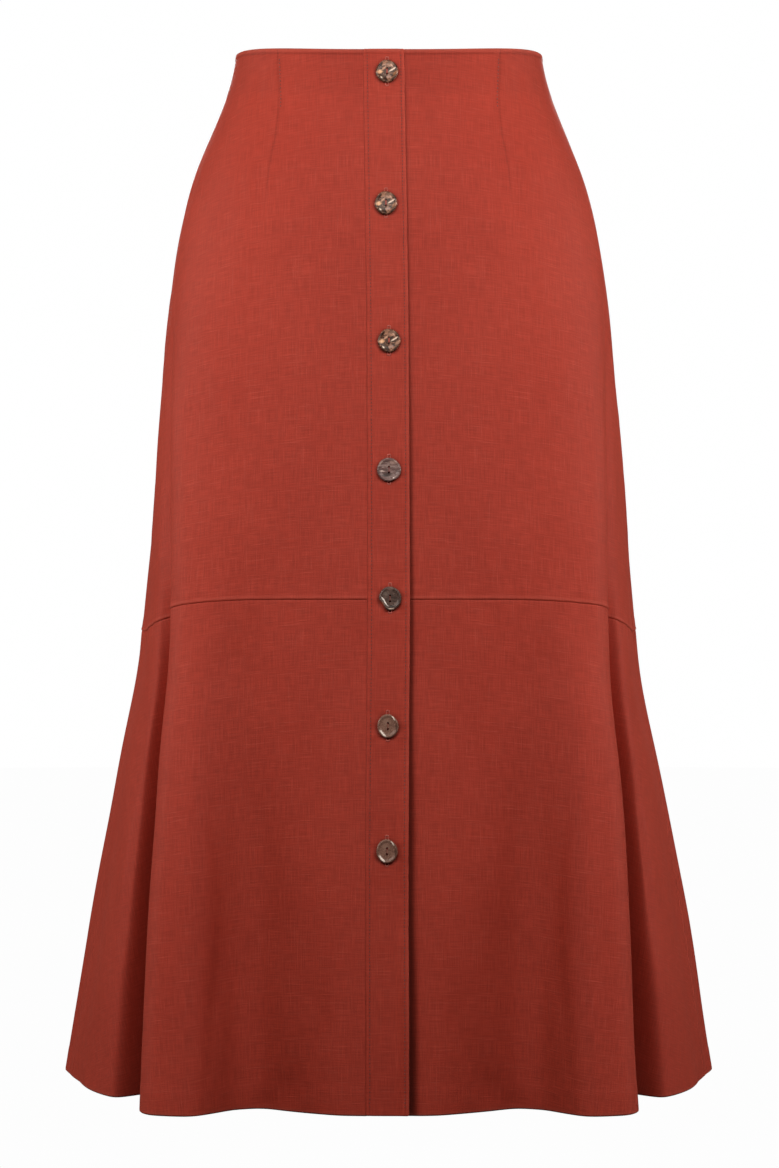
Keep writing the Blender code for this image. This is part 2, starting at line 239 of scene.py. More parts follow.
# Faint creases across the band, between and beside the buttons: drop, height, reach, slant
BAND_CREASES = (
    (0.046, -0.00025, 0.003, 0.05), (0.06, 0.0003, 0.004, -0.1), (0.073, -0.0003, 0.003, 0.15),
    (0.088, 0.00035, 0.004, 0.05), (0.103, -0.00035, 0.003, -0.2), (0.148, 0.0003, 0.0035, 0.2),
    (0.163, -0.00025, 0.003, -0.05), (0.182, 0.0003, 0.0045, 0.1), (0.206, -0.0003, 0.003, -0.15),
    (0.262, 0.00025, 0.004, 0.1), (0.292, -0.0002, 0.004, -0.1), (0.318, 0.0002, 0.004, 0.1),
    (0.365, -0.0002, 0.005, 0.15), (0.41, 0.00022, 0.005, -0.1), (0.47, -0.00022, 0.005, 0.1),
    (0.515, 0.00025, 0.005, 0.05), (0.56, -0.00022, 0.005, -0.2), (0.6, 0.00022, 0.005, 0.1),
    (0.66, -0.00025, 0.006, 0.25), (0.7, 0.0003, 0.008, -0.2), (0.76, -0.0003, 0.008, 0.3),
)

# Grain: distance from each tier's top edge to the point its flat cut fans out from
GRAIN_FAN = {"panel": 0.654, "flounce": 0.948}


# The cloth's surface


def rounded(at, knots, values, width):
    """Straight lines through the knots' values, with each corner rounded over about that width."""
    slopes = np.diff(values) / np.diff(knots)
    result = values[0] + slopes[0] * (at - knots[0])
    for corner, turn in zip(knots[1:-1], np.diff(slopes)):
        result = result + turn * width * np.logaddexp(0, (at - corner) / width)
    return result


def rounded_half(rounds, values, sign):
    """The same over the fold lines, with the skirt's other half mirrored on past each end.

    sign is 1 for what is equal in both halves, and -1 for what changes its side.
    """
    start = sign * values[1]
    end = values[-2] if sign > 0 else 2 * values[-1] - values[-2]
    knots = np.concatenate([[-FOLD_HEM[1]], FOLD_HEM, [2 - FOLD_HEM[-2]]])
    return rounded(rounds, knots, np.concatenate([[start], values, [end]]), FOLD_ROUNDING)


FOLD_HIP, FOLD_HEM, FOLD_OUT, FOLD_ALONG, FOLD_BACK, FOLD_START = np.array(
    [fold[1:] for fold in FOLDS]
).T


def ring(drop, shares):
    """Points and directions on half of the smooth ring, at shares of its length from the front."""
    drops, *columns = np.array(SECTIONS).T
    half_width, front, back, squareness = (
        rounded(drop, drops, column, SECTION_ROUNDING) for column in columns
    )
    angle = np.linspace(0, math.pi, RING_SAMPLES)
    across = np.sin(angle) / half_width
    along = np.abs(np.cos(angle)) / np.where(np.cos(angle) > 0, front, back)
    radius = (across**squareness + along**squareness) ** (-1 / squareness)
    points = np.stack([radius * np.sin(angle), -radius * np.cos(angle)])
    length = run_length(points.T)
    directions = np.gradient(points, length, axis=1)
    directions /= np.hypot(*directions)
    share = length / length[-1]
    return [np.interp(shares, share, row) for row in (*points, *directions)], length[-1]


def run_length(points):
    """How far along a line each of its points is."""
    steps = np.linalg.norm(np.diff(points, axis=0), axis=1)
    return np.concatenate([[0], np.cumsum(steps)])


def ring_share(rounds, drop):
    """Where on the ring, as a share of its half length, each round lies at that drop."""
    down = min(max((drop - HIP_DROP) / (HEM_DROP - HIP_DROP), 0), 1.02)
    hip_part = HALF_HIP * (1 - down)
    hem_part = HALF_HEM * down
    lines = (FOLD_HIP * hip_part + FOLD_HEM * hem_part) / (hip_part + hem_part)
    return np.clip(rounded_half(rounds, lines, -1), 0, 1)


HALF_HIP = ring(HIP_DROP, 0)[1]
HALF_HEM = ring(HEM_DROP, 0)[1]


def level(drop, rounds):
    """x and y of the cloth's outer face along one level of the half with x above 0."""
    (x, y, to_x, to_y), _ = ring(drop, ring_share(rounds, drop))
    grown = np.clip((drop - FOLD_START) / (HEM_DROP - FOLD_START), 0, None) ** FOLD_GROWTH
    out = rounded_half(rounds, FOLD_OUT * grown, 1)
    along = rounded_half(rounds, FOLD_ALONG * grown, -1)
    tucked = 1 - math.exp(-max(drop - TUCK_START, 0) / TUCK_REACH)
    back = rounded_half(rounds, FOLD_BACK * tucked, 1)
    return np.stack([x + out * to_y + along * to_x, y - out * to_x + along * to_y + back], axis=-1)


LEVELS = LEVEL_TOP + LEVEL_STEP * np.arange(LEVEL_COUNT)
TABLE_ROUNDS = np.linspace(0, 1, TABLE_COLUMNS)
TABLE = np.array([level(drop, TABLE_ROUNDS) for drop in LEVELS])


def side_round(rounds):
    """The same places with every round between -1 and 1."""
    return (rounds + 1) % 2 - 1


def face(rounds, drops):
    """Points of the smooth form's outer face."""
    turned = side_round(rounds)
    across = np.abs(turned) * (TABLE_COLUMNS - 1)
    down = (drops - LEVEL_TOP) / LEVEL_STEP
    column = np.clip(across.astype(int), 0, TABLE_COLUMNS - 2)
    row = np.clip(down.astype(int), 0, LEVEL_COUNT - 2)
    right = (across - column)[..., None]
    low = (down - row)[..., None]
    upper = TABLE[row, column] * (1 - right) + TABLE[row, column + 1] * right
    lower = TABLE[row + 1, column] * (1 - right) + TABLE[row + 1, column + 1] * right
    plan = upper * (1 - low) + lower * low
    x = np.where(turned < 0, -plan[..., 0], plan[..., 0])
    return np.stack([x, plan[..., 1], -drops], axis=-1)


def normal(rounds, drops):
    """Directions straight out of the smooth form."""
    step = 4 / (TABLE_COLUMNS - 1)
    round_way = face(rounds + step, drops) - face(rounds - step, drops)
    down_way = face(rounds, drops + 2 * LEVEL_STEP) - face(rounds, drops - 2 * LEVEL_STEP)
    outward = np.cross(down_way, round_way)
    return outward / np.linalg.norm(outward, axis=-1, keepdims=True)


def raised(rounds, drops, out):
    """Points that far out of the smooth form."""
    return face(rounds, drops) + out[..., None] * normal(rounds, drops)


def waist_drop(rounds):
    turn = math.pi * ring_share(np.abs(side_round(rounds)), 0)
    rise = WAIST_SIDE_RISE * np.sin(turn) ** WAIST_RISE_POWER
    return WAIST_BACK_DIP * (1 - np.cos(turn)) / 2 - rise


def seam_drop(rounds):
    share = ring_share(np.abs(side_round(rounds)), SEAM_DROP)
    return SEAM_DROP + SEAM_SIDE_DIP * np.sin(math.pi * share) ** SEAM_DIP_POWER


def level_xs(drop):
    """x of each of the table's columns at that drop."""
    row = min(int((drop - LEVEL_TOP) / LEVEL_STEP), LEVEL_COUNT - 2)
    low = (drop - LEVELS[row]) / LEVEL_STEP
    return TABLE[row, :, 0] * (1 - low) + TABLE[row + 1, :, 0] * low


def round_at_x(x, drop):
    """The round of the point at that x near the centre front."""
    near = TABLE_COLUMNS // 8
    return math.copysign(np.interp(abs(x), level_xs(drop)[:near], TABLE_ROUNDS[:near]), x)


def round_of(half, x, drop):
    """The round of a point, given how far it is to the side. At the sides it is given itself."""
    if half == "side":
        return x
    middle = TABLE_COLUMNS // 2
    part = slice(middle) if half == "front" else slice(None, middle, -1)
    return np.interp(x, np.maximum.accumulate(level_xs(drop)[part]), TABLE_ROUNDS[part])


def band_middle(drop):
    return rounded(drop, *np.array(BAND_MIDDLE).T, BAND_ROUNDING)


# Relief: how far the cloth stands out of the smooth form


def smoothstep(start, end, value):
    part = np.clip((value - start) / (end - start), 0, 1)
    return part * part * (3 - 2 * part)


def bell(distance, reach):
    return np.exp(-((distance / reach) ** 2))


def path_points(half, side, path):
    """A listed path as points on the form, close enough together to follow it."""
    last = len(path) - 1
    fine = np.linspace(0, last, 6 * last + 1)
    x, drops = (np.interp(fine, np.arange(len(path)), values) for values in np.transpose(path))
    rounds = np.array([round_of(half, *place) for place in zip(x, drops)])
    return face(side * rounds, drops)


def along_path(points, path, reach, fade=0.3):
    """1 on a path's line, falling to 0 across it, and towards its ends over the share fade."""
    low = path.min(axis=0) - 3 * reach
    high = path.max(axis=0) + 3 * reach
    near = np.all((points > low) & (points < high), axis=-1)
    chosen = points[near]
    best = np.zeros(len(chosen))
    for number, (start, end) in enumerate(zip(path[:-1], path[1:])):
        line = end - start
        part = np.clip((chosen - start) @ line / (line @ line), 0, 1)
        distance = np.linalg.norm(chosen - start - part[:, None] * line, axis=1)
        share = (number + part) / (len(path) - 1)
        strength = bell(distance, reach)
        if fade:
            strength *= smoothstep(0, fade, share) * smoothstep(1, 1 - fade, share)
        best = np.maximum(best, strength)
    result = np.zeros(points.shape[:-1])
    result[near] = best
    return result


CREASE_LINES = [
    (height / 1000, reach / 1000, path_points(half, side, np.reshape(path, (-1, 2)) / 1000))
    for half, creases in CREASES.items()
    for which, height, reach, *path in creases
    for side in ((which,) if which else (-1, 1))
]
DART_LINES = [
    path_points(half, side, path) for half, path in DART_PATHS.items() for side in (-1, 1)
]


def soft_relief(rounds, drops):
    """The listed creases and the slow waves of cloth that hangs."""
    points = face(rounds, drops)
    out = sum(height * along_path(points, line, reach) for height, reach, line in CREASE_LINES)
    waves = sum(
        height * np.sin(math.pi * count * rounds + 2 * math.pi * drops / length + phase)
        for height, count, length, phase in WAVES
    )
    near_band = smoothstep(0.02, 0.07, np.abs(points[..., 0])) + (points[..., 1] > 0)
    return out + waves * smoothstep(0.0, 0.12, drops) * np.clip(near_band, 0, 1)


def off_band(rounds, drops):
    """0 under the button band and 1 outside it."""
    points = face(rounds, drops)
    distance = np.abs(points[..., 0] - band_middle(drops))
    outside = smoothstep(BAND_HALF - 0.0016, BAND_HALF + 0.0002, distance)
    return np.clip(outside + (points[..., 1] > 0), 0, 1)


def beside_band(rounds, drops):
    """How far the cloth falls back beside the band's free edge, and the painted shade in the gap
    there, deeper towards the hem.
    """
    points = face(rounds, drops)
    distance = points[..., 0] - band_middle(drops) - BAND_HALF
    down = np.clip(drops / HEM_DROP, 0, 1)
    reach = 0.0030 + 0.0075 * down**1.6
    near = smoothstep(reach, 0.15 * reach, distance) * (points[..., 1] < 0)
    near = near * smoothstep(-0.9 * BAND_WIDTH, -0.2 * BAND_WIDTH, distance)
    return SINK_AT_HEM * down**1.5 * near, (0.32 + 0.68 * down**1.2) * near


def side_metre(drops):
    """Length along the cloth of one round, at the side seam."""
    reach = 0.02
    sides = np.full(np.shape(drops), SIDE_SEAM)
    across = face(sides + reach, drops) - face(sides - reach, drops)
    return np.linalg.norm(across, axis=-1) / (2 * reach)


def side_distance(rounds, drops):
    """How far round the cloth the nearest side seam is, negative towards the front."""
    return (np.abs(side_round(rounds)) - SIDE_SEAM) * side_metre(drops)


def turned_edge(below_waist):
    """1 on the narrow turned edge along the top, and 0 below it."""
    return 1 - smoothstep(EDGE_DEPTH - 0.0004, EDGE_DEPTH + 0.0006, below_waist)


def sewn_relief(rounds, drops):
    """What the seams, darts and turned edges do, with the painted shade of the cloth's grooves and
    folds and its lightening, partly wear and partly painted highlight.
    """
    points = face(rounds, drops)
    below_waist = drops - waist_drop(rounds)
    below_seam = drops - seam_drop(rounds)
    above_hem = HEM_DROP - drops
    free = off_band(rounds, drops)
    side = side_distance(rounds, drops)

    edge = turned_edge(below_waist)
    under_edge = bell(below_waist - EDGE_DEPTH - 0.0006, 0.0007)
    facing = 1 - smoothstep(FACING_DEPTH - 0.0015, FACING_DEPTH + 0.0025, below_waist)
    out = 0.00050 * edge - 0.00022 * under_edge + 0.00030 * facing * free

    seam_roll = bell(below_seam + 0.0015, 0.0012) * free
    seam_groove = bell(below_seam, 0.0006) * free
    out += 0.00028 * seam_roll - 0.00035 * seam_groove
    allowance = smoothstep(-SEAM_ALLOWANCE - 0.003, -SEAM_ALLOWANCE, below_seam) * (below_seam < 0)
    out += 0.00022 * allowance * free
    puckers = sum(
        height * np.sin(math.pi * count * rounds + phase) for height, count, phase in PUCKERS
    )
    out += puckers * bell(below_seam, np.where(below_seam > 0, 0.016, 0.006)) * free

    side_groove = bell(side, 0.0006)
    side_roll = bell(np.abs(side) - 0.0022, 0.0015)
    ripple = np.sin(2 * math.pi * drops / 0.031) + np.sin(2 * math.pi * drops / 0.019 + 1)
    out += -0.0005 * side_groove + (0.00010 + 0.00004 * ripple) * side_roll

    hem_step = smoothstep(HEM_TURN + 0.002, HEM_TURN - 0.001, above_hem)
    out += 0.00020 * hem_step * free - 0.00015 * bell(above_hem, 0.0009)

    dart_groove = dart_roll = np.zeros(rounds.shape)
    for line in DART_LINES:
        run = along_path(points, line, 0.0007, fade=0)
        fades = smoothstep(-line[-1, 2] + 0.002, -line[-1, 2] - 0.03, drops)
        dart_groove = np.maximum(dart_groove, run * (0.35 + 0.65 * fades))
        dart_roll = np.maximum(dart_roll, along_path(points, line, 0.0040, fade=0))
    out += -0.00035 * dart_groove + 0.00030 * dart_roll * smoothstep(-0.01, 0.02, drops)

    sunk, gap_shade = beside_band(rounds, drops)
    # Painted shade: the linen is darkened in the seam, side and dart grooves, under the turned
    # edge, a little over the faced top, deep in the tucked folds and in the gap beside the band's
    # free edge
    painted_shade = 0.16 * seam_groove + 0.3 * side_groove + 0.35 * dart_groove + 0.25 * under_edge
    tuck_shade = bell(np.abs(side_round(rounds)) - TUCK_SHADE_ROUND, 0.018) * smoothstep(0.46, 0.66, drops)
    painted_shade = np.clip(np.maximum(painted_shade + 0.08 * facing + 0.60 * tuck_shade, gap_shade), 0, 1)
    # Lighter along the seam roll, the top edge, the side seam's roll and the hem edge: partly wear
    # and partly painted highlight on raised edges
    wear_and_highlight = 0.3 * seam_roll + 0.6 * edge * bell(below_waist, 0.002) + 0.1 * side_roll
    wear_and_highlight = np.maximum(np.clip(wear_and_highlight, 0, 1), 0.6 * bell(above_hem, 0.0014))
    return out - sunk, painted_shade, wear_and_highlight


def layers(rounds, drops):
    """The cloth's thickness, with the facing, the hem turn and the seam allowances inside."""
    fade = 0.001
    below_seam = drops - seam_drop(rounds)
    below_waist = drops - waist_drop(rounds)
    doubled = [
        1 - smoothstep(FACING_DEPTH - fade, FACING_DEPTH + fade, below_waist),
        smoothstep(HEM_TURN + fade, HEM_TURN - fade, HEM_DROP - drops),
        (below_seam < 0) * smoothstep(-SEAM_ALLOWANCE - fade, -SEAM_ALLOWANCE, below_seam),
        smoothstep(SEAM_ALLOWANCE + fade, SEAM_ALLOWANCE, np.abs(side_distance(rounds, drops))),
    ]
    return CLOTH + SECOND_LAYER * np.maximum.reduce(doubled)


# Grids of places


FINE_FROM_SIDE = np.array([0.0005, 0.0010, 0.0016, 0.0024, 0.0034, 0.0048])
FINE_FROM_TOP = np.array([0, 0.0005, 0.0012, 0.0020, 0.0028, 0.0034, 0.0040, 0.0048, 0.0064])
FINE_FROM_SEAM = np.array([0, 0.0004, 0.0009, 0.0014, 0.0020, 0.0027, 0.0037, 0.0052])
FINE_FROM_HEM = np.array([0, 0.0006, 0.0014, 0.0026, 0.0042])
SEAM_HALF_GAP = 0.0001
BAND_SIDE = 0.062  # round where the columns stop following the band's edge
COLUMNS_BESIDE_BAND = 13
DART_MARGIN = 0.003  # in rounds, how far beside a dart the columns are finer
DART_STEP = 0.0016
BAND_STEPS = (0.0009, 0.0018)  # across and down
STAND_STEPS = (0.0018, 0.0036)
BAND_GRAIN = 0.31  # where the strips lie on the cut, so that their weaves differ
STAND_GRAIN = 0.47


def half_columns(half, tier):
    """Rounds of one half's columns, front or back, finer at the side seam and at the darts."""
    reference = SEAM_DROP if tier == "panel" else HEM_DROP
    start, end = (BAND_SIDE, SIDE_SEAM) if half == "front" else (SIDE_SEAM, 1)
    rounds = np.linspace(start, end, 1500)
    length = run_length(face(rounds, np.full(rounds.shape, reference)))
    count = math.ceil(length[-1] / CLOTH_STEP)
    columns = np.interp(np.linspace(0, length[-1], count + 1), length, rounds)
    if tier == "panel":
        darts = [round_of(half, *place) for place in DART_PATHS[half]]
        start, end = min(darts) - DART_MARGIN, max(darts) + DART_MARGIN
        inside = np.linspace(start, end, math.ceil((end - start) / DART_STEP) + 1)
        outside = columns[(columns < start) | (columns > end)]
        columns = np.concatenate([outside, inside])
    fine = FINE_FROM_SIDE / side_metre(np.array(reference))
    kept = np.abs(columns - SIDE_SEAM) > 1.2 * fine[-1]
    fine = SIDE_SEAM + (-fine if half == "front" else fine)
    return np.sort(np.concatenate([columns[kept], fine]))


def row_drops(tier, rounds):
    """Drops of the places in each row, from the piece's top edge to its bottom edge."""
    if tier == "panel":
        top, bottom, length = FINE_FROM_TOP, FINE_FROM_SEAM[::-1], SEAM_DROP
        first, last = waist_drop(rounds), seam_drop(rounds) - SEAM_HALF_GAP
    else:
        top, bottom, length = FINE_FROM_SEAM, FINE_FROM_HEM[::-1], HEM_DROP - SEAM_DROP
        first, last = seam_drop(rounds) + SEAM_HALF_GAP, HEM_DROP
    between = np.linspace(0, 1, math.ceil(length / CLOTH_STEP))[1:-1]
    share = np.concatenate([0 * top, between, 0 * bottom + 1])[:, None]
    inset = np.concatenate([top, (1 - between) * top[-1] - between * bottom[0], -bottom])
    return first * (1 - share) + last * share + inset[:, None]


def front_grid(tier, side):
    """Rounds and drops of a front piece, from under the band to the side seam."""
    columns = half_columns("front", tier)
    rows = []
    for drop in row_drops(tier, np.zeros(1))[:, 0]:
        edge = abs(round_at_x(band_middle(drop) + side * (BAND_HALF - BAND_OVERLAP), drop))
        near = np.linspace(edge, BAND_SIDE, COLUMNS_BESIDE_BAND + 1)[:-1]
        seam = SIDE_SEAM - SEAM_HALF_GAP / side_metre(drop)
        rows.append(np.concatenate([near, columns, [seam]]))
    rounds = side * np.array(rows)
    return rounds, row_drops(tier, rounds)


def back_grid(tier):
    """Rounds and drops of a back piece, from one side seam to the other."""
    columns = half_columns("back", tier)
    rows = []
    for drop in row_drops(tier, np.ones(1))[:, 0]:
        seam = SIDE_SEAM + SEAM_HALF_GAP / side_metre(drop)
        rows.append(np.concatenate([[seam], columns, 2 - columns[-2::-1], [2 - seam]]))
    rounds = np.array(rows)
    return rounds, row_drops(tier, rounds)


# Meshes


def in_scene(name, data):
    made = bpy.data.objects.new(name, data)
    bpy.context.scene.collection.objects.link(made)
    return made


def linen_piece(name, points, faces, finish):
    """A smooth object of cloth or thread that rides the skirt."""
    mesh = bpy.data.meshes.new(name)
    mesh.from_pydata(points.tolist(), [], faces)
    mesh.shade_smooth()
    mesh.materials.append(finish)
    made = in_scene(name, mesh)
    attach(made, "root")
    return made


def joined(name, parts, finish):
    """One object from several lists of points and faces."""
    faces, start = [], 0
    for points, part_faces in parts:
        faces += [tuple(corner + start for corner in corners) for corners in part_faces]
        start += len(points)
    linen_piece(name, np.concatenate([points for points, _ in parts]), faces, finish)


def from_bmesh(name, shape):
    """An object in the scene with that bmesh's faces. The bmesh is used up."""
    mesh = bpy.data.meshes.new(name)
    shape.to_mesh(mesh)
    shape.free()
    return in_scene(name, mesh)


def set_points(thing, name, kind, label, values):
    """Stores a value or a vector for each point, which the material reads."""
    attribute = thing.data.attributes.new(name, kind, "POINT")
    attribute.data.foreach_set(label, np.asarray(values, dtype=np.float32).ravel())


def grid_faces(index):
    a, b, c, d = index[:-1, :-1], index[1:, :-1], index[1:, 1:], index[:-1, 1:]
    return np.stack([a, b, c, d], axis=-1).reshape(-1, 4)


def rim_outward(points, order):
    """Directions out of a grid's edges along the sheet, in that order of its points."""
    inner = np.empty_like(points)
    inner[1:-1, 1:-1] = points[1:-1, 1:-1]
    inner[0], inner[-1] = points[1], points[-2]
    inner[:, 0], inner[:, -1] = points[:, 1], points[:, -2]
    away = (points - inner).reshape(-1, 3)[order]
    return away / np.maximum(np.linalg.norm(away, axis=1, keepdims=True), 1e-9)


def signed_volume(points, faces):
    """Six times the volume, above 0 if the faces look out."""
    a, b, c, d = (points[faces[:, corner]] for corner in range(4))
    return np.sum(a * np.cross(b, c)) + np.sum(a * np.cross(c, d))


def cloth_sheet(node, outer, inner, grain, finish, painted_shade, wear_and_highlight=0):
    """A closed sheet of cloth between two grids of points, with its edges rounded over."""
    rows, columns = outer.shape[:2]
    count = rows * columns
    index = np.arange(count).reshape(rows, columns)
    rim = np.concatenate([index[0, :-1], index[:-1, -1], index[-1, :0:-1], index[:0:-1, 0]])
    flat_outer, flat_inner = outer.reshape(-1, 3), inner.reshape(-1, 3)
    thickness = np.linalg.norm(flat_outer[rim] - flat_inner[rim], axis=1, keepdims=True)
    middle = (flat_outer[rim] + flat_inner[rim]) / 2
    middle = middle + EDGE_BULGE * thickness * rim_outward(outer, rim)
    points = np.concatenate([flat_outer, flat_inner, middle])
    edge = 2 * count + np.arange(len(rim))
    next_rim, next_edge = np.roll(rim, -1), np.roll(edge, -1)
    outside = grid_faces(index)
    faces = np.concatenate(
        [
            outside,
            outside[:, [0, 3, 2, 1]] + count,
            np.stack([rim, next_rim, next_edge, edge], axis=-1),
            np.stack([edge, next_edge, next_rim + count, rim + count], axis=-1),
        ]
    )
    made = linen_piece(f"{node}_cloth", points, faces.tolist(), finish)
    if signed_volume(points, faces) <= 0:
        made.data.flip_normals()
    grain = grain.reshape(-1, 2)
    flat = np.concatenate([grain, grain, grain[rim]])
    set_points(made, "grain", "FLOAT_VECTOR", "vector", np.pad(flat, ((0, 0), (0, 1))))
    for name, values in (("painted_shade", painted_shade), ("wear_and_highlight", wear_and_highlight)):
        values = np.broadcast_to(values, (rows, columns)).ravel()
        set_points(made, name, "FLOAT", "value", np.concatenate([values, values, values[rim]]))
    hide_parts(node)


def grain_places(points, drops, tier, start):
    """Flat places on the cut. start is the length from the grain line to the first column."""
    steps = np.linalg.norm(np.diff(points, axis=1), axis=2)
    along = start + np.pad(np.cumsum(steps, axis=1), ((0, 0), (1, 0)))
    fan = GRAIN_FAN[tier] + drops - (0 if tier == "panel" else SEAM_DROP)
    angle = along / fan
    return np.stack([fan * np.sin(angle), -fan * np.cos(angle)], axis=-1)


def build_piece(node, tier, rounds, drops, linen):
    sewn, painted_shade, wear_and_highlight = sewn_relief(rounds, drops)
    out = sewn + soft_relief(rounds, drops)
    points = face(rounds, drops)
    if node.startswith("back"):
        half = points[:, : rounds.shape[1] // 2 + 1]
        start = -np.linalg.norm(np.diff(half, axis=1), axis=2).sum(axis=1, keepdims=True)
    else:
        start = np.abs(points[:, :1, 0])
    grain = grain_places(points, drops, tier, start)
    inner = raised(rounds, drops, out - layers(rounds, drops))
    cloth_sheet(node, raised(rounds, drops, out), inner, grain, linen, painted_shade, wear_and_highlight)


def build_panels(linen):
    for tier in ("panel", "flounce"):
        for side, wearer_side in ((-1, "right"), (1, "left")):
            build_piece(f"front_{tier}_{wearer_side}", tier, *front_grid(tier, side), linen)
        build_piece(f"back_{tier}", tier, *back_grid(tier), linen)


# The button band


def band_grid(half_width, across_step, down_step):
    """Rounds, drops and places across from -1 to 1 of a strip down the centre front."""
    across = np.linspace(-1, 1, math.ceil(2 * half_width / across_step) + 1)
    drops = np.linspace(0, HEM_DROP, math.ceil(HEM_DROP / down_step))
    drops = np.sort(np.concatenate([drops, FINE_FROM_TOP[1:], HEM_DROP - FINE_FROM_HEM[1:]]))
    rounds = np.array(
        [[round_at_x(band_middle(drop) + x * half_width, drop) for x in across] for drop in drops]
    )
    return rounds, *np.broadcast_arrays(drops[:, None], across)


def band_height(across, drops):
    """How far the band's outer face stands off the cloth under it."""
    from_seam = (across + 1) * BAND_HALF
    from_free = (1 - across) * BAND_HALF
    lift = LIFT_AT_WAIST + (LIFT_AT_HEM - LIFT_AT_WAIST) * np.clip(drops / HEM_DROP, 0, 1) ** 1.6
    lift = lift * smoothstep(0.003, 0.02, drops)
    waver = 1 + 0.25 * np.sin(2 * math.pi * drops / 0.145 + 0.6) * smoothstep(0.05, 0.3, drops)
    height = 0.0005 + 0.0011 * smoothstep(0, 0.0016, from_seam)
    height = height + lift * waver * smoothstep(0.3, 1.0, across) ** 1.4
    height = height - 0.00030 * bell(from_seam - SEAM_STITCH_INSET, 0.0007)
    height = height - 0.00030 * bell(from_free - TOPSTITCH_INSET, 0.0007)
    return height - 0.00035 * bell(from_free, 0.0006) + 0.00045 * turned_edge(drops)


def band_relief(rounds, drops, across):
    """Puckers round the buttons and faint creases across the band."""
    points = face(rounds, drops)
    out = np.zeros(rounds.shape)
    for drop, height, reach, slant in BAND_CREASES:
        line = drops - drop - slant * across * BAND_HALF
        out += height * bell(line, reach) * smoothstep(1.0, 0.5, np.abs(across))
    for drop, x, _ in BUTTONS:
        beside, above = points[..., 0] - x, -points[..., 2] - drop
        distance = np.hypot(beside, above)
        turn = np.arctan2(above, beside)
        pucker = np.sin(7 * turn + 40 * drop) * bell(distance - BUTTON_RADIUS - 0.002, 0.004)
        out += 0.00022 * pucker * smoothstep(1.0, 0.8, np.abs(across))
        out -= 0.00045 * bell(distance, BUTTON_RADIUS * 0.8)
    return out


def build_band(linen):
    rounds, drops, across = band_grid(BAND_HALF, *BAND_STEPS)
    points = face(rounds, drops)
    height = band_height(across, drops) + band_relief(rounds, drops, across)
    soft = soft_relief(rounds, drops)
    thickness = np.minimum(WALL, height - 0.00018)
    outer = raised(rounds, drops, soft + height)
    inner = raised(rounds, drops, soft + height - thickness)
    from_seam = (across + 1) * BAND_HALF
    from_free = (1 - across) * BAND_HALF
    # Painted shade along the band's sewn edge and stitch lines, and a painted shadow in a ring
    # round each button
    painted_shade = bell(from_seam, 0.0007) + 0.5 * bell(from_seam - SEAM_STITCH_INSET, 0.0005)
    painted_shade = 0.3 * (painted_shade + 0.5 * bell(from_free - TOPSTITCH_INSET, 0.0005))
    for drop, x, _ in BUTTONS:
        distance = np.hypot(points[..., 0] - x, drops - drop)
        painted_shade = painted_shade + 0.42 * bell(distance - 0.99 * BUTTON_RADIUS, 0.0013)
    # Lighter along the free edge and the top: partly wear and partly painted highlight
    wear_and_highlight = np.maximum(0.25 * bell(from_free - 0.0006, 0.0009), 0.6 * bell(drops, 0.002))
    grain = np.stack([points[..., 0] + BAND_GRAIN, points[..., 2]], axis=-1)
    cloth_sheet("button_band", outer, inner, grain, linen, painted_shade, wear_and_highlight)

    rounds, drops, _ = band_grid(BAND_HALF - BAND_OVERLAP - GAP, *STAND_STEPS)
    points = face(rounds, drops)
    sunk, gap_shade = beside_band(rounds, drops)
    soft = soft_relief(rounds, drops) - sunk
    grain = np.stack([points[..., 0] + STAND_GRAIN, points[..., 2]], axis=-1)
    inside = raised(rounds, drops, soft - WALL)
    # Painted shade on the stand, in the gap beside the band's free edge
    cloth_sheet("button_stand", raised(rounds, drops, soft), inside, grain, linen, gap_shade)


def on_band(x, drops):
    """Points on the band's outer face, and the directions out of it."""
    rounds = np.array([round_at_x(*place) for place in zip(x, drops)])
    across = (x - band_middle(drops)) / BAND_HALF
    out = band_height(across, drops) + band_relief(rounds, drops, across)
    return raised(rounds, drops, out + soft_relief(rounds, drops)), normal(rounds, drops)


# Stitches


def capsule(sides=6, rows=4):
    """Points and faces of a short rounded thread of length 1 along X, one radius thick."""
    angles = 2 * math.pi * np.arange(sides) / sides
    points = [(-0.5, 0.0, 0.0)]
    for turn in np.linspace(0, math.pi, rows + 2)[1:-1]:
        along, width = -0.5 * math.cos(turn), math.sin(turn) ** 0.5
        points += [(along, width * math.cos(angle), width * math.sin(angle)) for angle in angles]
    last = len(points)
    faces = []
    for side in range(sides):
        after = (side + 1) % sides
        faces.append((0, 1 + after, 1 + side))
        for low in range(1, last - sides, sides):
            high = low + sides
            faces.append((low + side, low + after, high + after, high + side))
        faces.append((last - sides + side, last - sides + after, last))
    return np.array([*points, (0.5, 0.0, 0.0)]), faces


def stitches(name, middles, ways, outward, finish):
    """Short threads, each laid along its own way."""
    template, faces = capsule()
    parts = []
    for number, (middle, way, out) in enumerate(zip(middles, ways, outward)):
        way = way / np.linalg.norm(way)
        length = STITCH_LENGTH * (1 + 0.10 * math.sin(number * 2.4))
        across = 1.3 * STITCH_RADIUS * np.cross(out, way)
        parts.append((middle + template @ [length * way, across, STITCH_RADIUS * out], faces))
    joined(name, parts, finish)


def band_stitches(name, across, finish):
    drops = np.arange(FIRST_STITCH, HEM_DROP - LAST_STITCH, STITCH_PITCH)
    middles, outward = on_band(band_middle(drops) + across * BAND_HALF, drops)
    ways = np.gradient(middles, axis=0)
    stitches(name, middles - 0.35 * STITCH_RADIUS * outward, ways, outward, finish)


